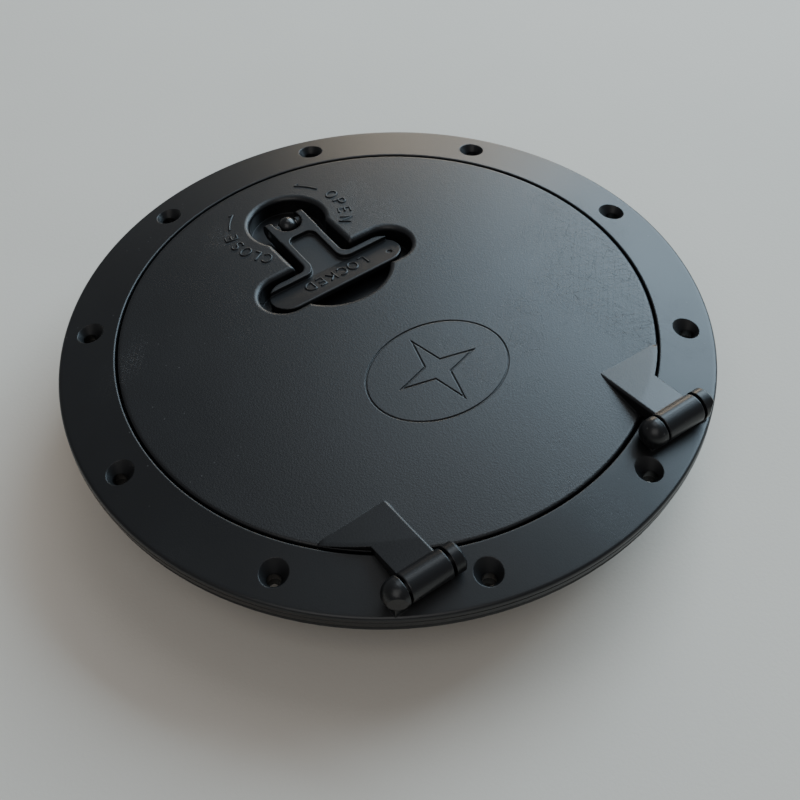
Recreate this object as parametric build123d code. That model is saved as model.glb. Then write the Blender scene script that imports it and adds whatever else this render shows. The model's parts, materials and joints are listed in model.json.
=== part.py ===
from build123d import *
import math
import os

# Round hinged deck hatch, in millimetres. +Z is up and out of the deck.
# +Y points from the hinges to the latch.
# The origin is the centre of the screw circle on the deck's surface, under the gasket.

# Driving dimensions: lid, rim and flange
lid_radius = 100.0
lid_edge_height = 2.5
crown_height = 6.0
lid_plate = 3.0
lid_edge_round = 1.0
rim_gap = 0.9
screw_land = 11.6
flange_border = 10.0
flange_thickness = 6.2
flange_slope = 0.21
flange_edge_round = 1.2
rim_edge_round = 0.5
edge_line_drop = 2.0
edge_line_size = 0.4
gasket_thickness = 3.3
gasket_setback = 0.8
gasket_bore_clearance = 0.5

# Screw holes in the flange
screw_count = 10
screw_hole_radius = 2.5
countersink_radius = 5.0
countersink_depth = 3.4

# Rebate, seal and coaming
rebate_depth = 8.5
rim_wall = 3.5
ledge_width = 9.5
ledge_thickness = 5.8
coaming_wall = 3.6
coaming_depth = 30.0
coaming_edge_round = 1.2
seal_groove_width = 3.6
seal_groove_depth = 2.2
seal_side_clearance = 0.1
seal_stand = 1.9
seal_top_round = 1.0
skirt_width = 4.5
skirt_seal_gap = 0.3

# Hinges
hinge_spacing = 108.0
hinge_inset = 1.7
hinge_height = 5.75
barrel_length = 16.0
barrel_radius = 5.35
barrel_edge_round = 0.5
barrel_end_gap = 1.0
barrel_relief = 0.6
arm_setback = 0.55
arm_rim_gap = 0.4
arm_edge_round = 1.0
ramp_length = 32.3
ramp_rise = 4.3
ramp_side_fall = 1.0
lug_radius = 5.4
lug_straight = 1.7
lug_plain_length = 4.1
lug_chamfer = 0.6
lug_foot_inset = 2.4
lug_trim = 0.5
pin_radius = 2.0
pin_running_clearance = 0.08
pin_seat_clearance = 0.01
pin_end_clearance = 0.3
pin_blind_depth = 4.5

# Latch well, T-shaped recess and finger scoop in the lid
latch_from_coaming = 22.0
well_radius = 15.2
well_below_handle = 8.8
recess_below_handle = 7.0
neck_side_gap = 3.9
slot_end_gap = 4.3
slot_latch_gap = 1.7
slot_outer_gap = 2.6
scoop_radius = 22.2
scoop_reach = 9.6
recess_corner_round = 0.8
well_corner_round = 3.0
recess_edge_round = 2.0
recess_wall = 2.4

# T-handle
handle_height = 5.2
handle_reach = 43.4
bar_length = 57.6
bar_width = 15.3
bar_thickness = 5.0
stem_width = 17.2
stem_thickness = 6.0
stem_corner_round = 3.4
prong_width = 2.7
prong_beyond_pin = 4.6
prong_below_pin = 3.6
prong_end_round = 2.8
crossbar_width = 3.3
handle_rim = 2.7
handle_sink = 2.0
pocket_corner_round = 3.4
rim_corner_round = 4.5
bar_lip = 2.2
dimple_radius = 1.1
dimple_depth = 0.4
dimple_inset = 5.5
handle_edge_round = 0.6

# Spindle, its bushes and seal
head_radius = 3.9
pin_below_handle_top = 2.8
handle_pin_radius = 1.5
handle_pin_clearance = 0.05
handle_pin_inset = 0.3
spacer_radius = 2.2
spacer_side_clearance = 0.05
spacer_seat_gap = 0.3
collar_radius = 5.2
collar_thickness = 1.2
shaft_radius = 4.0
shaft_clearance = 0.06
bush_wall = 2.0
bush_flange = 1.4
bush_flange_thickness = 1.0
bush_seat_clearance = 0.05
upper_bush_length = 4.5
lower_bush_length = 3.2
boss_wall = 3.4
boss_drop = 7.6
seal_ring_gap = 0.3
seal_ring_fit = 0.05

# Spring, cam and their fixing
thrust_washer_width = 3.0
washer_thickness = 1.0
washer_clearance = 0.3
spring_height = 6.3
spring_wire_radius = 0.6
spring_turns = 3.0
spring_end_gap = 0.05
spring_shaft_gap = 1.0
cup_thickness = 1.0
cam_thickness = 3.0
cam_hub_radius = 7.0
cam_width = 9.0
flats_width = 6.2
flats_clearance = 0.05
cam_screw_radius = 2.0
cam_screw_length = 12.0
cam_screw_head_radius = 3.6
cam_screw_head_height = 2.4
cam_screw_socket_radius = 1.4
cam_screw_socket_depth = 1.4
cam_washer_radius = 4.6
cam_washer_thickness = 0.8
lock_washer_radius = 3.4
lock_washer_split = 0.8
lock_washer_gap_angle = 20.0

# Strike shelf on the coaming
strike_width = 28.0
strike_projection = 4.5
strike_thickness = 5.6
strike_gap = 0.7
strike_lead = 2.0
cam_strike_clearance = 2.5

# Lid stiffeners and the line decoration
rib_thickness = 2.0
rib_depth = 4.0
rib_ring_radii = (38.0, 68.0)
rib_count = 12
emblem_y = -32.2
emblem_length = 55.6
emblem_width = 43.0
emblem_line = 0.6
emblem_depth = 0.4
star_long = 17.0
star_short = 5.0

# Places worked out from the driving dimensions
rim_radius = lid_radius + rim_gap
screw_circle_radius = rim_radius + screw_land
flange_radius = screw_circle_radius + flange_border
flange_bottom = gasket_thickness
flange_top = flange_bottom + flange_thickness
rim_top = flange_top + flange_slope * screw_land
flange_edge_top = flange_top - flange_slope * flange_border
lid_edge_top = flange_top + lid_edge_height
crown_top = lid_edge_top + crown_height
crown_radius = (lid_radius ** 2 + crown_height ** 2) / (2 * crown_height)
crown_centre_z = crown_top - crown_radius
plate_edge_bottom = lid_edge_top - lid_plate
handle_top = flange_top + handle_height
ledge_top = flange_top - rebate_depth
ledge_bottom = ledge_top - ledge_thickness
coaming_inner = rim_radius - ledge_width
coaming_outer = coaming_inner + coaming_wall
spigot_radius = rim_radius + rim_wall
seal_outer = lid_radius - (skirt_width - seal_groove_width) / 2 - seal_side_clearance
seal_inner = seal_outer - seal_groove_width + 2 * seal_side_clearance
seal_bottom = ledge_top - seal_groove_depth
seal_top = ledge_top + seal_stand
skirt_bottom = seal_top + skirt_seal_gap

hinge_y = -(lid_radius - hinge_inset)
hinge_z = flange_top + hinge_height
arm_bottom = rim_top + arm_rim_gap
ramp_start_y = hinge_y + ramp_length
arm_inner_x = (hinge_spacing - barrel_length) / 2 + arm_setback
arm_outer_x = arm_inner_x + barrel_length - 2 * arm_setback

latch_y = coaming_inner - latch_from_coaming
well_floor = handle_top - well_below_handle
recess_floor = handle_top - recess_below_handle
neck_width = stem_width + 2 * neck_side_gap
slot_outer_y = latch_y - handle_reach - slot_outer_gap
slot_latch_y = latch_y - handle_reach + bar_width + slot_latch_gap
slot_width = slot_latch_y - slot_outer_y
slot_length = bar_length + 2 * slot_end_gap

head_z = handle_top - pin_below_handle_top
prong_gap = stem_width - 2 * prong_width
bar_outer_y = latch_y - handle_reach
bar_latch_y = bar_outer_y + bar_width
fork_end_y = latch_y - prong_gap / 2
pocket_end_y = fork_end_y - crossbar_width
bush_radius = shaft_radius + bush_wall
bush_flange_radius = bush_radius + bush_flange
boss_bottom = well_floor - recess_wall - boss_drop
boss_radius = bush_radius + boss_wall
thrust_top = boss_bottom - bush_flange_thickness
spring_top = thrust_top - washer_thickness
spring_bottom = spring_top - spring_height
cam_top = spring_bottom - cup_thickness
cam_bottom = cam_top - cam_thickness
cam_washer_bottom = cam_bottom - cam_washer_thickness
lock_washer_bottom = cam_washer_bottom - lock_washer_split
strike_edge_y = coaming_inner - strike_projection
cam_reach = strike_edge_y - cam_strike_clearance - latch_y
strike_bottom = cam_top + strike_gap


def disc(radius, low, high):
    return Pos(0, 0, low) * extrude(Circle(radius), high - low)


def ring(inner, outer, low, high):
    return Pos(0, 0, low) * extrude(Circle(outer) - Circle(inner), high - low)


def block(width, depth, low, high, y=0.0, x=0.0):
    return Pos(x, y, low) * extrude(Rectangle(width, depth), high - low)


def along_x(radius, start, end):
    """A round bar along X on the local origin's axis, from start to end."""
    return Pos((start + end) / 2, 0, 0) * (Rot(0, 90, 0) * Cylinder(radius, end - start))


def side_prism(points, start, end):
    """A prism with its (y, z) outline, from x = start to x = end."""
    plane = Plane(origin=(start, 0, 0), x_dir=(0, 1, 0), z_dir=(1, 0, 0))
    return extrude(plane * Polygon(*points, align=None), end - start, dir=(1, 0, 0))


def circle_at(solid, height):
    """The round edges that lie at one height."""
    return [edge for edge in solid.edges().filter_by(GeomType.CIRCLE) if abs(edge.center().Z - height) < 0.01]


def screw_positions():
    places = PolarLocations(screw_circle_radius, screw_count, start_angle=90 + 180 / screw_count)
    return list(places)


def lug_outline(length, domed):
    """Half a lug's length section, as a face above the X axis."""
    if domed:
        rise = Line((0, 0), (0, lug_radius))
        flat = Line((0, lug_radius), (length, lug_radius))
        end = CenterArc((length, 0), lug_radius, 0, 90)
        base = Line((length + lug_radius, 0), (0, 0))
        return make_face([rise, flat, end, base])
    tip = lug_radius - lug_chamfer
    return Polygon((0, 0), (0, lug_radius), (length - lug_chamfer, lug_radius), (length, tip), (length, 0),
                   align=None)


def hinge_lug(length, domed):
    """A lug at the hinge axis that starts at x = 0 and runs to +X, with its foot down to the flange."""
    body = revolve(lug_outline(length, domed), Axis.X, 360)
    reach = length + lug_radius - lug_foot_inset if domed else length - lug_chamfer
    foot_height = hinge_z - flange_edge_top + flange_edge_round
    plan = Pos(reach / 2, 0) * Rectangle(reach, 2 * (lug_radius - lug_foot_inset))
    foot = extrude(plan, foot_height, dir=(0, 0, -1))
    return body + foot


def hinge_centres():
    return (-hinge_spacing / 2, hinge_spacing / 2)


def frame_ring():
    corners = [(rim_radius, flange_bottom), (flange_radius, flange_bottom), (flange_radius, flange_edge_top),
               (rim_radius, rim_top)]
    section = Polygon(*corners, align=None)
    flange = revolve(Plane.XZ * section, Axis.Z, 360)
    flange = fillet(circle_at(flange, flange_edge_top), flange_edge_round)
    flange = fillet(circle_at(flange, rim_top), rim_edge_round)
    rim = ring(rim_radius, spigot_radius, ledge_bottom, flange_top)
    ledge = ring(coaming_inner, spigot_radius, ledge_bottom, ledge_top)
    coaming = ring(coaming_inner, coaming_outer, -coaming_depth, ledge_bottom)
    coaming = fillet(coaming.edges().group_by(Axis.Z)[0], coaming_edge_round)
    frame = flange + rim + ledge + coaming
    frame -= ring(seal_inner - seal_side_clearance, seal_outer + seal_side_clearance, seal_bottom, ledge_top)
    line_top = flange_edge_top - edge_line_drop
    frame -= ring(flange_radius - edge_line_size, flange_radius + 1, line_top - edge_line_size, line_top)
    trim = disc(flange_radius - lug_trim, flange_edge_top - flange_edge_round, hinge_z + 2 * lug_radius)
    for centre in hinge_centres():
        half_gap = barrel_length / 2 + barrel_end_gap
        domed = Pos(centre - half_gap, hinge_y, hinge_z) * mirror(hinge_lug(lug_straight, True), Plane.YZ)
        plain = Pos(centre + half_gap, hinge_y, hinge_z) * hinge_lug(lug_plain_length, False)
        groove = along_x(barrel_radius + barrel_relief, centre - half_gap, centre + half_gap)
        frame -= Pos(0, hinge_y, hinge_z) * groove
        frame += (domed + plain) & trim
        blind_end = centre - half_gap - pin_blind_depth
        open_end = centre + half_gap + lug_plain_length + 1
        frame -= Pos(0, hinge_y, hinge_z) * along_x(pin_radius + pin_seat_clearance, blind_end, open_end)
    for place in screw_positions():
        frame -= place * disc(screw_hole_radius, flange_bottom - 1, flange_top + 1)
        sink = Cone(screw_hole_radius, 2 * countersink_radius - screw_hole_radius, 2 * countersink_depth)
        frame -= place * (Pos(0, 0, flange_top) * sink)
    return frame + strike_shelf()


def strike_shelf():
    """The moulded ledge that the cam turns under, with a lead-in on its lower inner edge."""
    strike_top = strike_bottom + strike_thickness
    inner = strike_edge_y
    outer = coaming_inner + coaming_wall / 2
    points = [(inner, strike_bottom + strike_lead), (inner + strike_lead, strike_bottom),
              (outer, strike_bottom),
              (outer, strike_top), (inner, strike_top)]
    shelf = side_prism(points, -strike_width / 2, strike_width / 2)
    return shelf & disc(coaming_inner + coaming_wall / 2, strike_bottom - 1, strike_top + 1)


def deck_gasket():
    gasket = ring(spigot_radius + gasket_bore_clearance, flange_radius - gasket_setback, 0, gasket_thickness)
    for place in screw_positions():
        gasket -= place * disc(screw_hole_radius, -1, gasket_thickness + 1)
    return gasket


def lid_seal():
    seal = ring(seal_inner, seal_outer, seal_bottom, seal_top)
    return fillet(seal.edges().group_by(Axis.Z)[-1], seal_top_round)


def hinge_pin(centre):
    half_gap = barrel_length / 2 + barrel_end_gap
    start = centre - half_gap - pin_blind_depth + pin_end_clearance
    end = centre + half_gap + lug_plain_length - pin_end_clearance
    return Pos(0, hinge_y, hinge_z) * along_x(pin_radius, start, end)


def recess_plan(grow):
    """The outline of well, neck, slot and scoop, each grown outwards by the same amount."""
    well = Pos(0, latch_y) * Circle(well_radius + grow)
    slot_y = (slot_outer_y + slot_latch_y) / 2
    slot = Pos(0, slot_y) * SlotOverall(slot_length + 2 * grow, slot_width + 2 * grow)
    neck_length = latch_y - slot_y
    neck = Pos(0, slot_y + neck_length / 2) * Rectangle(neck_width + 2 * grow, neck_length)
    scoop_y = slot_outer_y - scoop_reach + scoop_radius
    scoop = Pos(0, scoop_y) * (Circle(scoop_radius + grow) & Pos(0, -scoop_radius) * Rectangle(
        4 * scoop_radius, 2 * scoop_radius))
    plan = well + neck + slot + scoop
    return plan


def rounded_recess_plan():
    plan = recess_plan(0)
    half = neck_width / 2
    at_slot = [v for v in plan.vertices() if abs(abs(v.X) - half) < 0.01 and abs(v.Y - slot_latch_y) < 0.01]
    plan = fillet(at_slot, recess_corner_round)
    middle_y = (slot_latch_y + latch_y) / 2
    at_well = [v for v in plan.vertices() if abs(abs(v.X) - half) < 0.01 and v.Y > middle_y]
    return fillet(at_well, well_corner_round)


def crown_height_at(x, y):
    """Height of the lid's domed top over a point."""
    return crown_centre_z + math.sqrt(crown_radius ** 2 - x ** 2 - y ** 2)


def crown_ball(depth):
    """The ball that the domed top is part of, drawn in by a depth."""
    return Pos(0, 0, crown_centre_z) * Sphere(crown_radius - depth)


def lid_dome():
    """The crowned plate with its skirt, revolved from half a section."""
    inner = lid_radius - skirt_width
    low = crown_height_at(inner, 0) - lid_plate
    sag = crown_radius - lid_plate
    middle = lid_radius / 2
    top = ThreePointArc((0, crown_top), (middle, crown_height_at(middle, 0)), (lid_radius, lid_edge_top))
    drop = Line((lid_radius, lid_edge_top), (lid_radius, skirt_bottom))
    foot = Line((lid_radius, skirt_bottom), (inner, skirt_bottom))
    rise = Line((inner, skirt_bottom), (inner, low))
    under_middle = (inner / 2, crown_centre_z + math.sqrt(sag ** 2 - inner ** 2 / 4))
    under = ThreePointArc((inner, low), under_middle, (0, crown_top - lid_plate))
    axis = Line((0, crown_top - lid_plate), (0, crown_top))
    section = make_face([top, drop, foot, rise, under, axis])
    dome = revolve(Plane.XZ * section, Axis.Z, 360)
    return fillet(circle_at(dome, lid_edge_top), lid_edge_round)


def hinge_arm(side):
    """The ramp and arm on one side of the lid, with its barrel; side is -1 or 1."""
    start_z = crown_height_at(arm_inner_x, ramp_start_y)
    end_y = hinge_y + barrel_radius / 2
    end_z = start_z + ramp_rise
    ramp = [(ramp_start_y, start_z), (end_y, end_z), (end_y, arm_bottom), (ramp_start_y, arm_bottom)]
    wedge = side_prism(ramp, 0, lid_radius)
    inner_edge = wedge.edges().filter_by(lambda e: abs(e.center().X) < 0.01).sort_by(Axis.Z)[-1]
    wedge = fillet(inner_edge, arm_edge_round)
    fall = math.degrees(math.atan2(ramp_side_fall, arm_outer_x - arm_inner_x))
    wedge = Pos(arm_inner_x, 0, start_z) * (Rot(0, fall, 0) * (Pos(0, 0, -start_z) * wedge))
    high = hinge_z + lug_radius
    reach = disc(lid_radius, arm_bottom, high)
    arm_middle = (arm_inner_x + arm_outer_x) / 2
    reach += block(arm_outer_x - arm_inner_x, 2 * ramp_length, arm_bottom, high, hinge_y, arm_middle)
    wedge &= reach
    middle = hinge_spacing / 2
    barrel = along_x(barrel_radius, middle - barrel_length / 2, middle + barrel_length / 2)
    barrel = fillet(barrel.edges().filter_by(GeomType.CIRCLE), barrel_edge_round)
    arm = wedge + Pos(0, hinge_y, hinge_z) * barrel
    return arm if side > 0 else mirror(arm, Plane.YZ)


def lid_ribs():
    """Rings and spokes under the lid, that end flat below the plate's edge."""
    low = plate_edge_bottom - rib_depth
    ribs = Part()
    for radius in rib_ring_radii:
        ribs += ring(radius - rib_thickness / 2, radius + rib_thickness / 2, low, crown_top)
    outer = lid_radius - skirt_width / 2
    length = outer - rib_ring_radii[0]
    for step in range(rib_count):
        rib = block(rib_thickness, length, low, crown_top, rib_ring_radii[0] + length / 2)
        ribs += Rot(0, 0, step * 360 / rib_count) * rib
    return ribs & crown_ball(lid_plate / 2)


def star_plan(long_radius, short_radius):
    points = []
    for step in range(8):
        radius = short_radius if step % 2 else long_radius
        angle = math.radians(45 * step)
        points.append((radius * math.cos(angle), radius * math.sin(angle)))
    return Polygon(*points, align=None)


def emblem_lines():
    """A thin oval line with a plain four-pointed star inside it, sunk to an even depth below the crown."""
    oval = Ellipse(emblem_length / 2, emblem_width / 2)
    oval -= Ellipse(emblem_length / 2 - emblem_line, emblem_width / 2 - emblem_line)
    star = star_plan(star_long, star_short)
    star -= offset(star, amount=-emblem_line, kind=Kind.INTERSECTION)
    lines = Pos(0, emblem_y, lid_edge_top) * extrude(oval + star, 2 * crown_height)
    return lines - crown_ball(emblem_depth)


def lid_pocket_shell():
    """The walls and floors under the recess and the well, up to the middle of the plate."""
    low = recess_floor - recess_wall
    shell = Pos(0, 0, low) * extrude(recess_plan(recess_wall), crown_top - low)
    shell += Pos(0, latch_y) * disc(well_radius + recess_wall, well_floor - recess_wall, crown_top)
    shell += Pos(0, latch_y) * disc(boss_radius, boss_bottom, crown_top)
    return shell & crown_ball(lid_plate / 2)


def recess_rim(lid):
    """The edges where the recess meets the lid's crown."""
    rim = []
    for edge in lid.edges():
        middle = edge @ 0.5
        beside = abs(middle.X) < slot_length / 2 + 1
        along = slot_outer_y - scoop_reach - 1 < middle.Y < latch_y + well_radius + 1
        if beside and along and abs(middle.Z - crown_height_at(middle.X, middle.Y)) < 0.02:
            rim.append(edge)
    return rim


def lid_shell():
    lid = lid_dome() + lid_ribs() + lid_pocket_shell()
    lid -= Pos(0, 0, recess_floor) * extrude(rounded_recess_plan(), crown_top)
    lid = fillet(recess_rim(lid), recess_edge_round)
    for side in (-1, 1):
        lid += hinge_arm(side)
    bush_bore = bush_radius + bush_seat_clearance
    flange_bore = bush_flange_radius + bush_seat_clearance
    lid -= Pos(0, latch_y) * disc(well_radius, well_floor, recess_floor + 1)
    lid -= Pos(0, latch_y) * disc(bush_bore, boss_bottom - 1, well_floor + 1)
    lid -= Pos(0, latch_y) * disc(flange_bore, well_floor - bush_flange_thickness, well_floor + 1)
    for centre in hinge_centres():
        bore = along_x(pin_radius + pin_running_clearance, centre - barrel_length, centre + barrel_length)
        lid -= Pos(0, hinge_y, hinge_z) * bore
    return lid - emblem_lines()


def handle_plan():
    bar = Pos(0, (bar_outer_y + bar_latch_y) / 2) * SlotOverall(bar_length, bar_width)
    stem_length = latch_y + prong_beyond_pin - bar_latch_y + bar_width / 2
    stem = Pos(0, latch_y + prong_beyond_pin - stem_length / 2) * Rectangle(stem_width, stem_length)
    plan = bar + stem
    corners = [v for v in plan.vertices() if abs(v.Y - bar_latch_y) < 0.01 and abs(v.X) < stem_width]
    return fillet(corners, stem_corner_round)


def handle_sink_tool():
    """What is cut from the handle's top: the stem's pocket and the bar's sloping face."""
    rim_y = bar_latch_y - handle_rim
    pocket_width = stem_width - 2 * handle_rim
    pocket = Pos(0, (pocket_end_y + rim_y) / 2) * Rectangle(pocket_width, pocket_end_y - rim_y)
    face = Pos(0, rim_y - bar_width / 2) * Rectangle(2 * bar_length, bar_width)
    plan = pocket + face
    inner = [v for v in plan.vertices() if abs(v.Y - rim_y) < 0.01 and abs(v.X) < stem_width]
    plan = fillet(inner, rim_corner_round)
    ends = [v for v in plan.vertices() if abs(v.Y - pocket_end_y) < 0.01]
    plan = fillet(ends, pocket_corner_round)
    floor = handle_top - handle_sink
    tool = Pos(0, 0, floor) * extrude(plan, handle_sink + 1)
    outer_y = bar_outer_y + 1
    slope = [(outer_y, handle_top), (rim_y, floor), (rim_y, floor - 1), (outer_y - bar_width, floor - 1),
             (outer_y - bar_width, handle_top + 2), (outer_y, handle_top + 2)]
    return tool - side_prism(slope, -2 * bar_length, 2 * bar_length)


def t_handle():
    slab = Pos(0, 0, handle_top - stem_thickness) * extrude(handle_plan(), stem_thickness)
    slab = fillet(slab.edges().group_by(Axis.Z)[-1], handle_edge_round)
    low = handle_top - 2 * stem_thickness
    under_bar = block(2 * bar_length, 2 * bar_width, low, handle_top - bar_thickness, bar_latch_y - bar_width)
    slab -= under_bar
    lip_end_y = bar_outer_y + bar_width / 2
    lip = [(bar_outer_y - 1, handle_top - bar_lip), (bar_outer_y, handle_top - bar_lip),
           (lip_end_y, handle_top - bar_thickness), (lip_end_y, low), (bar_outer_y - 1, low)]
    slab -= side_prism(lip, -bar_length, bar_length)
    slab -= handle_sink_tool()
    slab -= block(2 * stem_width, 2 * stem_width, low, handle_top + 1, latch_y + stem_width)
    slab += handle_prong(-1) + handle_prong(1)
    slab -= Pos(0, latch_y) * disc(prong_gap / 2, low, handle_top + 1)
    axle = Pos(0, latch_y, head_z)
    slab -= axle * along_x(spacer_radius + spacer_seat_gap, -prong_gap / 2, prong_gap / 2)
    slab -= axle * along_x(handle_pin_radius + handle_pin_clearance, -stem_width, stem_width)
    dimple_x = bar_length / 2 - dimple_inset
    dimple_y = bar_outer_y + bar_width / 3
    dimple_floor = handle_top - handle_sink / 2 - dimple_depth
    slab -= Pos(dimple_x, dimple_y) * disc(dimple_radius, dimple_floor, handle_top + 1)
    return slab


def handle_prong(side):
    start_y = pocket_end_y
    end_y = latch_y + prong_beyond_pin
    low = head_z - prong_below_pin
    high = handle_top
    plane = Plane(origin=(0, 0, 0), x_dir=(0, 1, 0), z_dir=(1, 0, 0))
    shape = Polygon((start_y, handle_top - stem_thickness), (fork_end_y, low), (end_y, low), (end_y, high),
                    (start_y, high), align=None)
    ends = [v for v in shape.vertices() if abs(v.X - end_y) < 0.01]
    shape = fillet(ends, prong_end_round)
    prong = extrude(plane * shape, prong_width)
    left = (prong_gap / 2) if side > 0 else (-prong_gap / 2 - prong_width)
    return Pos(left, 0, 0) * prong


def handle_pivot_pin():
    half = stem_width / 2 - handle_pin_inset
    return Pos(0, latch_y, head_z) * along_x(handle_pin_radius, -half, half)


def pivot_spacers():
    start = head_radius + spacer_side_clearance
    end = prong_gap / 2 - spacer_side_clearance
    bore = handle_pin_radius + handle_pin_clearance
    spacer = along_x(spacer_radius, start, end) - along_x(bore, 0, prong_gap)
    spacers = spacer + mirror(spacer, Plane.YZ)
    return Pos(0, latch_y, head_z) * spacers


def latch_spindle():
    head = Pos(0, 0, head_z) * Sphere(head_radius)
    head += disc(head_radius, well_floor, head_z)
    collar = disc(collar_radius, well_floor, well_floor + collar_thickness)
    shaft = disc(shaft_radius, spring_bottom, well_floor)
    end_length = spring_bottom - cam_bottom - flats_clearance
    end = disc(shaft_radius, spring_bottom - end_length, spring_bottom)
    end &= block(3 * shaft_radius, flats_width, cam_bottom, spring_bottom)
    spindle = head + collar + shaft + end
    cheek = 2 * (head_radius - handle_pin_radius)
    spindle -= Pos(0, 0, head_z) * along_x(handle_pin_radius + pin_seat_clearance, -2 * cheek, 2 * cheek)
    spindle -= disc(cam_screw_radius + pin_seat_clearance, cam_bottom - 1, cam_bottom + cam_screw_length)
    return Pos(0, latch_y, 0) * spindle


def spindle_bush(flange_low, tube_low, tube_high):
    bore = shaft_radius + shaft_clearance
    bush = ring(bore, bush_radius, tube_low, tube_high)
    bush += ring(bore, bush_flange_radius, flange_low, flange_low + bush_flange_thickness)
    return Pos(0, latch_y, 0) * bush


def upper_spindle_bush():
    return spindle_bush(well_floor - bush_flange_thickness, well_floor - upper_bush_length, well_floor)


def lower_spindle_bush():
    return spindle_bush(thrust_top, thrust_top, boss_bottom + lower_bush_length)


def spindle_seal():
    inner = shaft_radius + seal_ring_gap
    outer = bush_radius - seal_ring_fit
    middle_z = (well_floor - upper_bush_length + boss_bottom + lower_bush_length) / 2
    return Pos(0, latch_y, middle_z) * Torus((inner + outer) / 2, (outer - inner) / 2)


def thrust_washer():
    inner = shaft_radius + washer_clearance
    return Pos(0, latch_y, 0) * ring(inner, inner + thrust_washer_width, spring_top, thrust_top)


def latch_spring():
    coil_radius = shaft_radius + spring_shaft_gap + spring_wire_radius
    coil_height = spring_height - 2 * (spring_wire_radius + spring_end_gap)
    path = Helix(coil_height / spring_turns, coil_height, coil_radius)
    start = Plane(origin=path @ 0, z_dir=path % 0)
    coil = sweep(start * Circle(spring_wire_radius), path=path, is_frenet=True)
    return Pos(0, latch_y, spring_bottom + spring_wire_radius + spring_end_gap) * coil


def flats_hole(low, high):
    hole = disc(shaft_radius + flats_clearance, low, high)
    return hole & block(3 * shaft_radius, flats_width + 2 * flats_clearance, low, high)


def spring_cup():
    cup = disc(cam_hub_radius, cam_top, spring_bottom)
    return Pos(0, latch_y, 0) * (cup - flats_hole(cam_top - 1, spring_bottom + 1))


def latch_cam():
    hub = disc(cam_hub_radius, cam_bottom, cam_top)
    tongue = block(cam_width, cam_reach, cam_bottom, cam_top, cam_reach / 2)
    tongue &= disc(cam_reach, cam_bottom, cam_top)
    return Pos(0, latch_y, 0) * (hub + tongue - flats_hole(cam_bottom - 1, cam_top + 1))


def cam_washer():
    bore = cam_screw_radius + washer_clearance
    return Pos(0, latch_y, 0) * ring(bore, cam_washer_radius, cam_washer_bottom,
                                     cam_bottom)


def cam_lock_washer():
    bore = cam_screw_radius + washer_clearance
    washer = ring(bore, lock_washer_radius, lock_washer_bottom, cam_washer_bottom)
    turned = Rot(0, 0, lock_washer_gap_angle)
    slot = turned * block(lock_washer_split, 2 * lock_washer_radius, lock_washer_bottom - 1,
                                                    cam_washer_bottom + 1, lock_washer_radius)
    return Pos(0, latch_y, 0) * (washer - slot)


def cam_screw():
    head = disc(cam_screw_head_radius, lock_washer_bottom - cam_screw_head_height, lock_washer_bottom)
    head = fillet(head.edges().group_by(Axis.Z)[0], cam_screw_head_height / 3)
    shank = disc(cam_screw_radius, lock_washer_bottom, lock_washer_bottom + cam_screw_length)
    low = lock_washer_bottom - cam_screw_head_height
    socket = Pos(0, 0, low) * extrude(RegularPolygon(cam_screw_socket_radius, 6), cam_screw_socket_depth)
    return Pos(0, latch_y, 0) * (head + shank - socket)


nodes = {
    "frame_ring": frame_ring(),
    "deck_gasket": deck_gasket(),
    "lid_seal": lid_seal(),
    "hinge_pin_left": hinge_pin(-hinge_spacing / 2),
    "hinge_pin_right": hinge_pin(hinge_spacing / 2),
    "lid_shell": lid_shell(),
    "upper_spindle_bush": upper_spindle_bush(),
    "lower_spindle_bush": lower_spindle_bush(),
    "spindle_seal": spindle_seal(),
    "thrust_washer": thrust_washer(),
    "latch_spindle": latch_spindle(),
    "handle_pivot_pin": handle_pivot_pin(),
    "pivot_spacers": pivot_spacers(),
    "latch_spring": latch_spring(),
    "spring_cup": spring_cup(),
    "latch_cam": latch_cam(),
    "cam_washer": cam_washer(),
    "cam_lock_washer": cam_lock_washer(),
    "cam_screw": cam_screw(),
    "t_handle": t_handle(),
}

os.makedirs("parts", exist_ok=True)
for name, node in nodes.items():
    export_step(node, f"parts/{name}.step")
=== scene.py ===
"""Looks of the round deck hatch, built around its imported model. Lengths are in metres."""
import json
import math

import bpy
from mathutils import Matrix, Vector


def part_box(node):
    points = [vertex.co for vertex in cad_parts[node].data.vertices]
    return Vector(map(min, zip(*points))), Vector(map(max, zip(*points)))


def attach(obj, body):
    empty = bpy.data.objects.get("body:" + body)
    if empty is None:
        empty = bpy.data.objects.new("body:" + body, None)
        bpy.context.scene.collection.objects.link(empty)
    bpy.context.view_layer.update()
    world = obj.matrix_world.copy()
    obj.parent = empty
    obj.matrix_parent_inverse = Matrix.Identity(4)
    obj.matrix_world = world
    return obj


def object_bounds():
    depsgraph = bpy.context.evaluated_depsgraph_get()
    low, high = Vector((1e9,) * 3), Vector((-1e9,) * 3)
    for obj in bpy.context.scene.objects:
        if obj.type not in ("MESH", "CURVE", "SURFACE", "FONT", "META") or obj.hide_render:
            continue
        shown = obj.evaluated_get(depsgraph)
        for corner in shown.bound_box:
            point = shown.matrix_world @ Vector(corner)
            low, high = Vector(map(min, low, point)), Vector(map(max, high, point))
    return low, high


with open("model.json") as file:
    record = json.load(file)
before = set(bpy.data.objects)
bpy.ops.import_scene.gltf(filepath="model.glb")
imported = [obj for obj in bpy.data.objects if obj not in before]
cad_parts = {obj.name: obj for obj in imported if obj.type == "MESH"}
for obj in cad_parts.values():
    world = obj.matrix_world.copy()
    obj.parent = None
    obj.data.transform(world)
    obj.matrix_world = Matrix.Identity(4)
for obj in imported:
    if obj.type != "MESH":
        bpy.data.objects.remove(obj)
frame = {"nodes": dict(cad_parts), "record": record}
cad_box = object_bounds()
nodes = frame["nodes"]
joints = {joint["name"]: joint for joint in frame["record"]["behaviour"]["joints"]}


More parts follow.
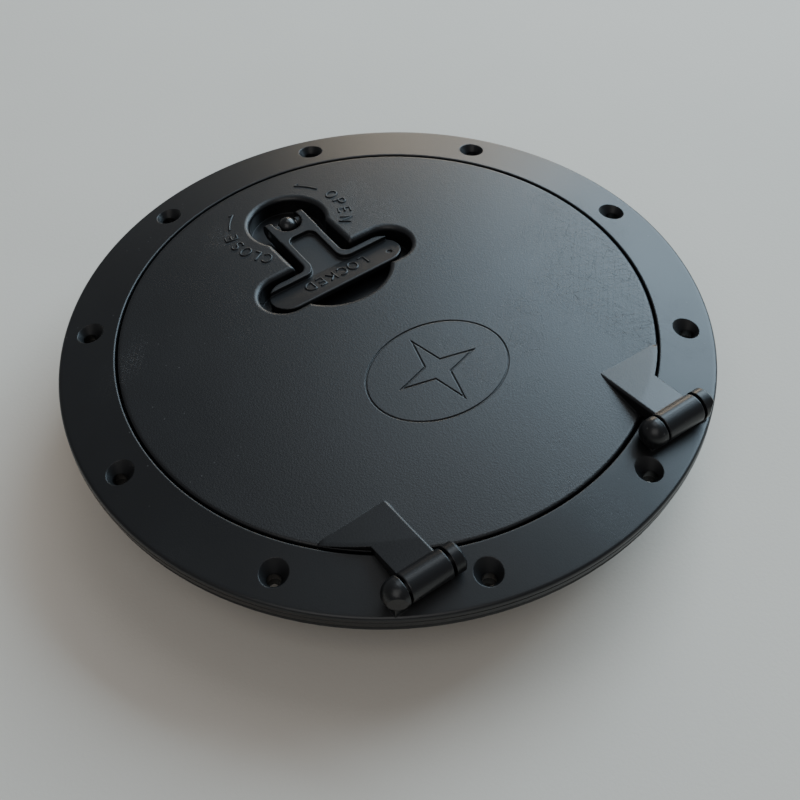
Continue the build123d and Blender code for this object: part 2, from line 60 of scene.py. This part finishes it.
# Places read from the model
pivot = Vector(joints["latch_turn"]["pos_m"])
hinge_line = Vector(joints["lid_swing"]["pos_m"])
flange_low, flange_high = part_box("frame_ring")
flange_radius = flange_high.x
lid_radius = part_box("lid_shell")[1].x
handle_low, handle_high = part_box("t_handle")
lug_start_z = 0.0127
ramp_start_y = -0.0660
ramp_inner_x = 0.0464
lid_edge_z = 0.0120
crown_top = nodes["lid_shell"].ray_cast(Vector((0, 0, 0.1)), Vector((0, 0, -1)))[1].z
crown_drop = (crown_top - lid_edge_z) / lid_radius ** 2


# Shader values that read as plain Python expressions
class Value:
    """One varying number in a finish, with the operators that a finish uses."""

    def __init__(self, finish, socket):
        self.finish = finish
        self.socket = socket

    def math(self, operation, *others):
        return self.finish.node("Math", {"operation": operation}, self, *others)

    def __add__(self, other):
        return self.math("ADD", other)

    __radd__ = __add__

    def __mul__(self, other):
        return self.math("MULTIPLY", other)

    __rmul__ = __mul__

    def __sub__(self, other):
        return self.math("SUBTRACT", other)

    def __rsub__(self, other):
        return self.finish.node("Math", {"operation": "SUBTRACT"}, other, self)

    def __truediv__(self, other):
        return self.math("DIVIDE", other)

    def __gt__(self, other):
        return self.math("GREATER_THAN", other)

    def __lt__(self, other):
        return self.math("LESS_THAN", other)

    def size(self):
        return self.math("ABSOLUTE")

    def ramp(self, low, high):
        """0 below low, 1 above high and smooth in between."""
        settings = {"interpolation_type": "SMOOTHSTEP"}
        return self.finish.node("MapRange", settings, self, low, high)


class Finish:
    """A material and the nodes that make it."""

    def __init__(self, name):
        self.material = bpy.data.materials.new(name)
        self.material.use_nodes = True
        self.tree = self.material.node_tree
        self.shader = self.tree.nodes["Principled BSDF"]
        self.place = self.node("TexCoord", {}, output="Object")

    def node(self, kind, settings, *values, output=0, **named):
        """A node of a kind: settings first, then its sockets in order or by name."""
        made = self.tree.nodes.new("ShaderNode" + kind)
        for key, setting in settings.items():
            setattr(made, key, setting)
        for key, value in list(enumerate(values)) + list(named.items()):
            if value is None:
                continue
            socket = made.inputs[key if isinstance(key, int) else key.replace("_", " ")]
            self.feed(socket, value)
        return Value(self, made.outputs[output])

    def feed(self, socket, value):
        if isinstance(value, Value):
            self.tree.links.new(value.socket, socket)
        else:
            socket.default_value = value

    def noise(self, scale, detail=3.0, roughness=0.55, stretch=None):
        place = self.place if stretch is None else self.stretched(stretch)
        return self.node("TexNoise", {}, Vector=place, Scale=scale, Detail=detail, Roughness=roughness)

    def cells(self, scale, feature="F1", smooth=None, place=None):
        """Distances to the nearest points of a scattered pattern."""
        settings = {"feature": feature}
        return self.node("TexVoronoi", settings, Vector=place or self.place, Scale=scale, Smoothness=smooth)

    def stretched(self, factors):
        return self.node("VectorMath", {"operation": "MULTIPLY"}, self.place, factors)

    def axis(self, name):
        return self.node("SeparateXYZ", {}, self.place, output=name)

    def from_centre(self):
        """Distance from the hatch's vertical axis."""
        flat = self.stretched((1.0, 1.0, 0.0))
        return self.node("VectorMath", {"operation": "LENGTH"}, flat, output="Value")

    def blend(self, share, first, second):
        """Colour first where share is 0 and second where it is 1."""
        made = self.tree.nodes.new("ShaderNodeMix")
        made.data_type = "RGBA"
        self.feed(made.inputs["Factor"], share)
        self.feed(made.inputs[6], first)
        self.feed(made.inputs[7], second)
        return Value(self, made.outputs[2])

    def relief(self, height, distance, rounding=None):
        """Surface relief in metres over a height of 0 to 1, with edges softened by a small radius."""
        normal = None
        if rounding is not None:
            normal = self.node("Bevel", {"samples": 6}, rounding)
        return self.node("Bump", {}, Height=height, Distance=distance, Strength=1.0, Normal=normal)

    def set(self, **sockets):
        for key, value in sockets.items():
            self.feed(self.shader.inputs[key.replace("_", " ")], value)
        return self.material


def shade(red, green, blue):
    return (red, green, blue, 1.0)


def dust_on(finish, scale, amount):
    """Sparse pale specks."""
    specks = finish.cells(scale)
    patches = finish.noise(26.0, 2.0)
    return (specks < 0.075) * patches.ramp(0.52, 0.62) * amount


def scratches_on(finish):
    """A few long faint hairlines in three directions."""
    lines = 0.0
    for turn, scale in ((0.35, 34.0), (1.25, 27.0), (2.3, 22.0)):
        turned = finish.node("VectorRotate", {"rotation_type": "Z_AXIS"}, finish.place, Angle=turn)
        thin = finish.node("VectorMath", {"operation": "MULTIPLY"}, turned, (1.0, 22.0, 1.0))
        hair = finish.node("TexVoronoi", {"feature": "DISTANCE_TO_EDGE"}, Vector=thin, Scale=scale)
        lines = (hair < 0.006) + lines
    worn = finish.noise(17.0, 2.0)
    return lines * worn.ramp(0.55, 0.66)


def moulded_grain(finish, scale):
    """Fine leathery grain of a textured mould: small pebbles broken up by finer noise."""
    pebbles = finish.cells(scale, "SMOOTH_F1", 0.35)
    fine = finish.noise(scale * 2.1, 2.0)
    return pebbles * 0.7 + fine * 0.5


def lid_plastic():
    finish = Finish("grained black lid")
    ramp = (finish.axis("X").size() > ramp_inner_x) * (finish.axis("Y") < ramp_start_y)
    plain = 1.0 - ramp
    reach = finish.from_centre()
    crown = crown_top - crown_drop * reach * reach
    sunk = (finish.axis("Z") < crown - 0.0006) * (reach < lid_radius - 0.004)
    edge = reach.ramp(lid_radius - 0.0022, lid_radius - 0.0008)
    cloudy = finish.noise(21.0, 4.0)
    hairs = scratches_on(finish) * plain
    dust = dust_on(finish, 260.0, 0.45)
    base = finish.blend(cloudy.ramp(0.3, 0.7), shade(0.0042, 0.0043, 0.0048), shade(0.0062, 0.0063, 0.0070))
    colour = finish.blend(dust, base, shade(0.09, 0.088, 0.085))
    rough = 0.40 + cloudy * 0.06 - ramp * 0.04 - edge * 0.06 - sunk * 0.11 + hairs * 0.10
    grain = moulded_grain(finish, 1450.0) * (plain * 0.6 + 0.4) * (1.0 - sunk * 0.9) - hairs * 0.35
    return finish.set(Base_Color=colour, Roughness=rough, Normal=finish.relief(grain, 0.00004, 0.0005))


def flange_plastic():
    finish = Finish("smooth black flange")
    lugs = (finish.axis("Z") > lug_start_z) * (finish.axis("Y") < hinge_line.y + 0.008)
    edge = finish.from_centre().ramp(flange_radius - 0.0022, flange_radius - 0.0008)
    cloudy = finish.noise(17.0, 4.0)
    hairs = scratches_on(finish)
    dust = dust_on(finish, 230.0, 0.4)
    base = finish.blend(cloudy.ramp(0.3, 0.7), shade(0.0042, 0.0042, 0.0045), shade(0.0064, 0.0064, 0.0068))
    colour = finish.blend(dust, base, shade(0.09, 0.088, 0.085))
    rough = 0.38 + cloudy * 0.06 - lugs * 0.08 - edge * 0.06 + hairs * 0.04
    grain = moulded_grain(finish, 1700.0) * (0.5 - lugs * 0.35) - hairs * 0.25
    return finish.set(Base_Color=colour, Roughness=rough, Normal=finish.relief(grain, 0.00003, 0.0005))


def handle_plastic():
    finish = Finish("semi-gloss black handle")
    cloudy = finish.noise(60.0, 3.0)
    # Painted highlight: the band at the handle's top is painted lighter, and is also a little smoother.
    top_highlight_band = finish.axis("Z").ramp(handle_high.z - 0.0007, handle_high.z - 0.0001)
    base = finish.blend(cloudy.ramp(0.3, 0.7), shade(0.0042, 0.0042, 0.0046), shade(0.0065, 0.0065, 0.0070))
    # The top band's colour is lightened towards grey as a painted highlight.
    colour = finish.blend(top_highlight_band * 0.25, base, shade(0.018, 0.018, 0.019))
    rough = 0.35 + cloudy * 0.07 - top_highlight_band * 0.06
    grain = moulded_grain(finish, 1800.0)
    return finish.set(Base_Color=colour, Roughness=rough, Normal=finish.relief(grain, 0.00002, 0.0007))


def small_plastic(name, tone, roughness):
    finish = Finish(name)
    cloudy = finish.noise(120.0, 3.0)
    dark = shade(tone * 0.8, tone * 0.8, tone * 0.82)
    light = shade(tone * 1.3, tone * 1.3, tone * 1.32)
    base = finish.blend(cloudy, dark, light)
    rough = roughness + cloudy * 0.08
    grain = finish.noise(2200.0, 2.0)
    return finish.set(Base_Color=base, Roughness=rough, Normal=finish.relief(grain, 0.00002, 0.0003))


def rubber(name, tone):
    finish = Finish(name)
    bloom = finish.noise(45.0, 5.0)
    dust = dust_on(finish, 320.0, 0.5)
    bloomed = shade(tone * 2.1, tone * 2.1, tone * 2.0)
    base = finish.blend(bloom.ramp(0.35, 0.75), shade(tone, tone, tone), bloomed)
    colour = finish.blend(dust, base, shade(0.12, 0.12, 0.11))
    rough = 0.72 + bloom * 0.16
    grain = finish.noise(1500.0, 4.0)
    return finish.set(Base_Color=colour, Roughness=rough, Normal=finish.relief(grain, 0.00005))


def steel(name, brightness, roughness, along):
    """Stainless steel with fine lines left by turning or drawing."""
    finish = Finish(name)
    lines = finish.noise(260.0, 3.0, stretch=along)
    blotches = finish.noise(90.0, 3.0)
    base = finish.blend(
        blotches,
        shade(brightness * 0.82, brightness * 0.82, brightness * 0.83),
        shade(brightness * 1.1, brightness * 1.1, brightness * 1.1),
    )
    rough = roughness + lines * 0.16 + blotches * 0.06
    normal = finish.relief(lines, 0.00002, 0.0002)
    return finish.set(Base_Color=base, Metallic=1.0, Roughness=rough, Normal=normal)


finishes = {
    "lid_plastic": lid_plastic(),
    "flange_plastic": flange_plastic(),
    "handle_plastic": handle_plastic(),
    "spindle_plastic": small_plastic("gloss black spindle", 0.006, 0.24),
    "cam_plastic": small_plastic("satin black cam", 0.007, 0.42),
    "bush_plastic": small_plastic("satin black bush", 0.005, 0.55),
    "gasket_rubber": rubber("matt black gasket", 0.010),
    "seal_rubber": rubber("matt black seal", 0.008),
    "pin_steel": steel("ground steel pin", 0.55, 0.22, (0.05, 1.0, 1.0)),
    "washer_steel": steel("stamped steel washer", 0.5, 0.3, (1.0, 0.15, 1.0)),
    "spring_steel": steel("drawn spring wire", 0.45, 0.28, (1.0, 1.0, 0.2)),
    "screw_steel": steel("machined screw", 0.55, 0.25, (1.0, 1.0, 0.1)),
}

for subpart in frame["record"]["subparts"]:
    node = nodes[subpart["node"]]
    node.data.materials.clear()
    node.data.materials.append(finishes[subpart["material_slot"]])
    bpy.context.view_layer.objects.active = node
    with bpy.context.temp_override(object=node, selected_editable_objects=[node]):
        bpy.ops.object.shade_smooth_by_angle(angle=math.radians(28))


# Raised lettering, drawn with a round line on a grid one letter high
def arc(centre, radii, start, end, steps=14):
    """Points on an ellipse's arc, with angles in degrees."""
    points = []
    for step in range(steps + 1):
        angle = math.radians(start + (end - start) * step / steps)
        points.append((centre[0] + radii[0] * math.cos(angle), centre[1] + radii[1] * math.sin(angle)))
    return points


bowl = arc((0.33, 0.74), (0.27, 0.26), 90, -90, 8)
letters = {
    "C": [arc((0.42, 0.5), (0.42, 0.5), 48, 312)],
    "D": [[(0, 0), (0, 1), (0.22, 1)] + arc((0.22, 0.5), (0.5, 0.5), 90, -90, 10) + [(0.22, 0), (0, 0)]],
    "E": [[(0.55, 0), (0, 0), (0, 1), (0.55, 1)], [(0, 0.52), (0.48, 0.52)]],
    "K": [[(0, 0), (0, 1)], [(0.58, 1), (0.02, 0.42)], [(0.2, 0.6), (0.62, 0)]],
    "L": [[(0, 1), (0, 0), (0.52, 0)]],
    "N": [[(0, 0), (0, 1), (0.64, 0), (0.64, 1)]],
    "O": [arc((0.4, 0.5), (0.4, 0.5), 90, 450, 20)],
    "P": [[(0, 0), (0, 1), (0.33, 1)] + bowl + [(0.33, 0.48), (0, 0.48)]],
    "S": [arc((0.3, 0.75), (0.27, 0.25), 40, 270, 9) + arc((0.3, 0.25), (0.3, 0.25), 90, -140, 9)],
}
letter_width = {
    "C": 0.75, "D": 0.72, "E": 0.55, "K": 0.62, "L": 0.52, "N": 0.64, "O": 0.8, "P": 0.6, "S": 0.6,
}
letter_height = 0.0047
stroke_radius = 0.00043
letter_ring_radius = 0.0236
arrow_ring_radius = 0.0232
barb_share = 0.13
barb_reach = 0.0013
locked_inset = 0.0072
locked_start_x = 0.0122
locked_step = 0.0049


def surface_under(node, x, y):
    """The point and the normal where a line straight down meets a node's top."""
    hit, point, normal, _ = node.ray_cast(Vector((x, y, 0.1)), Vector((0, 0, -1)))
    if not hit:
        raise ValueError(f"nothing of {node.name} lies under {x}, {y}")
    return point, normal


def raised_lines(name, lines, radius, body, slot):
    """Round lines half sunk in a surface, as one mesh piece."""
    curve = bpy.data.curves.new(name, "CURVE")
    curve.dimensions = "3D"
    curve.bevel_depth = radius
    curve.bevel_resolution = 2
    curve.use_fill_caps = True
    for points in lines:
        spline = curve.splines.new("POLY")
        spline.points.add(len(points) - 1)
        for spot, point in zip(spline.points, points):
            spot.co = (*point, 1.0)
    drawn = bpy.data.objects.new(name + "_line", curve)
    bpy.context.scene.collection.objects.link(drawn)
    bpy.context.view_layer.update()
    mesh = bpy.data.meshes.new_from_object(drawn)
    bpy.data.objects.remove(drawn)
    piece = bpy.data.objects.new(name, mesh)
    bpy.context.scene.collection.objects.link(piece)
    for polygon in mesh.polygons:
        polygon.use_smooth = True
    mesh.materials.clear()
    mesh.materials.append(finishes[slot])
    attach(piece, body)
    return piece


def letter_lines(letter, node, x, y, up):
    """One letter's strokes laid on a node's top, centred on a point, with its top towards up."""
    centre, normal = surface_under(node, x, y)
    rise = (up - normal * up.dot(normal)).normalized()
    across = rise.cross(normal)
    middle = letter_width[letter] / 2
    lines = []
    for stroke in letters[letter]:
        line = []
        for right, high in stroke:
            sideways = across * (right - middle) * letter_height
            line.append(centre + sideways + rise * (high - 0.5) * letter_height)
        lines.append(line)
    return lines


def word_on_ring(word, radius, angles):
    """Letters around the well, with their tops outwards."""
    lines = []
    for letter, angle in zip(word, angles):
        out = Vector((math.cos(math.radians(angle)), math.sin(math.radians(angle)), 0))
        x = pivot.x + radius * out.x
        y = pivot.y + radius * out.y
        lines += letter_lines(letter, nodes["lid_shell"], x, y, out)
    return lines


def turn_arrow(radius, start, end):
    """An arc on the lid with one barb at its end."""
    lid = nodes["lid_shell"]
    line = []
    for x, y in arc((pivot.x, pivot.y), (radius, radius), start, end, 16):
        line.append(surface_under(lid, x, y)[0])
    barb_angle = math.radians(end + (start - end) * barb_share)
    barb_radius = radius + barb_reach
    barb_x = pivot.x + barb_radius * math.cos(barb_angle)
    barb_y = pivot.y + barb_radius * math.sin(barb_angle)
    return [line, [surface_under(lid, barb_x, barb_y)[0], line[-1]]]


marks = {
    "open_letters": word_on_ring("OPEN", letter_ring_radius, (8, -7, -22, -37)),
    "close_letters": word_on_ring("CLOSE", letter_ring_radius, (219, 207, 195, 182, 168)),
    "open_arrow": turn_arrow(arrow_ring_radius, 26, 51),
    "close_arrow": turn_arrow(arrow_ring_radius, 155, 130),
}
for mark, lines in marks.items():
    raised_lines(mark, lines, stroke_radius, "lid", "lid_plastic")

locked = []
locked_y = handle_low.y + locked_inset
for step, letter in enumerate("LOCKED"):
    x = locked_start_x - step * locked_step
    locked += letter_lines(letter, nodes["t_handle"], x, locked_y, Vector((0, -1, 0)))
raised_lines("locked_letters", locked, stroke_radius, "handle", "handle_plastic")


# Camera
camera_place = Vector((-0.178448, -0.272709, 0.353707))
forward = Vector((0.36092, 0.53659, -0.76276)).normalized()
upward = Vector((0.45424, 0.61317, 0.64629))
rightward = forward.cross(upward).normalized()
upward = rightward.cross(forward)
camera_data = bpy.data.cameras.new("camera")
camera_data.lens = 56.768
camera_data.sensor_width = 36.0
camera_data.clip_start = 0.01
camera = bpy.data.objects.new("camera", camera_data)
camera.matrix_world = Matrix((rightward, upward, -forward)).transposed().to_4x4()
camera.matrix_world.translation = camera_place
bpy.context.scene.collection.objects.link(camera)
bpy.context.scene.camera = camera


# Floor and light
def floor_cloth():
    finish = Finish("pale studio floor")
    soft = finish.noise(9.0, 3.0)
    colour = finish.blend(soft, shade(0.66, 0.605, 0.53), shade(0.72, 0.66, 0.58))
    weave = finish.noise(700.0, 2.0)
    return finish.set(Base_Color=colour, Roughness=0.9, Normal=finish.relief(weave, 0.00006))


def studio_floor(half, height):
    mesh = bpy.data.meshes.new("floor")
    corners = [(-half, -half, height), (half, -half, height), (half, half, height), (-half, half, height)]
    mesh.from_pydata(corners, [], [(0, 1, 2, 3)])
    mesh.materials.append(floor_cloth())
    floor = bpy.data.objects.new("floor", mesh)
    bpy.context.scene.collection.objects.link(floor)


def soft_light(name, azimuth, elevation, distance, size, power, colour):
    """A soft panel that faces the hatch, placed by its direction in degrees from +X and above the deck."""
    data = bpy.data.lights.new(name, "AREA")
    data.shape = "RECTANGLE"
    data.size, data.size_y = size
    data.energy = power
    data.color = colour
    light = bpy.data.objects.new(name, data)
    side, rise = math.radians(azimuth), math.radians(elevation)
    flat = math.cos(rise)
    light.location = distance * Vector((flat * math.cos(side), flat * math.sin(side), math.sin(rise)))
    light.rotation_euler = (-light.location).to_track_quat("-Z", "Y").to_euler()
    bpy.context.scene.collection.objects.link(light)


studio_floor(4.0, cad_box[0][2])
world = bpy.data.worlds.new("room")
bpy.context.scene.world = world
world.use_nodes = True
world.node_tree.nodes["Background"].inputs["Color"].default_value = shade(0.78, 0.80, 0.84)
world.node_tree.nodes["Background"].inputs["Strength"].default_value = 0.23
soft_light("window", 17, 33, 2.0, (1.8, 1.3), 58.0, (0.62, 0.83, 1.0))
soft_light("warm wall", 50, 12, 2.2, (0.9, 0.4), 8.0, (1.0, 0.84, 0.64))
soft_light("high panel", 40, 62, 2.2, (1.2, 1.2), 6.5, (0.92, 0.96, 1.0))
soft_light("room behind", 225, 55, 2.2, (1.6, 1.6), 9.5, (1.0, 0.99, 0.97))
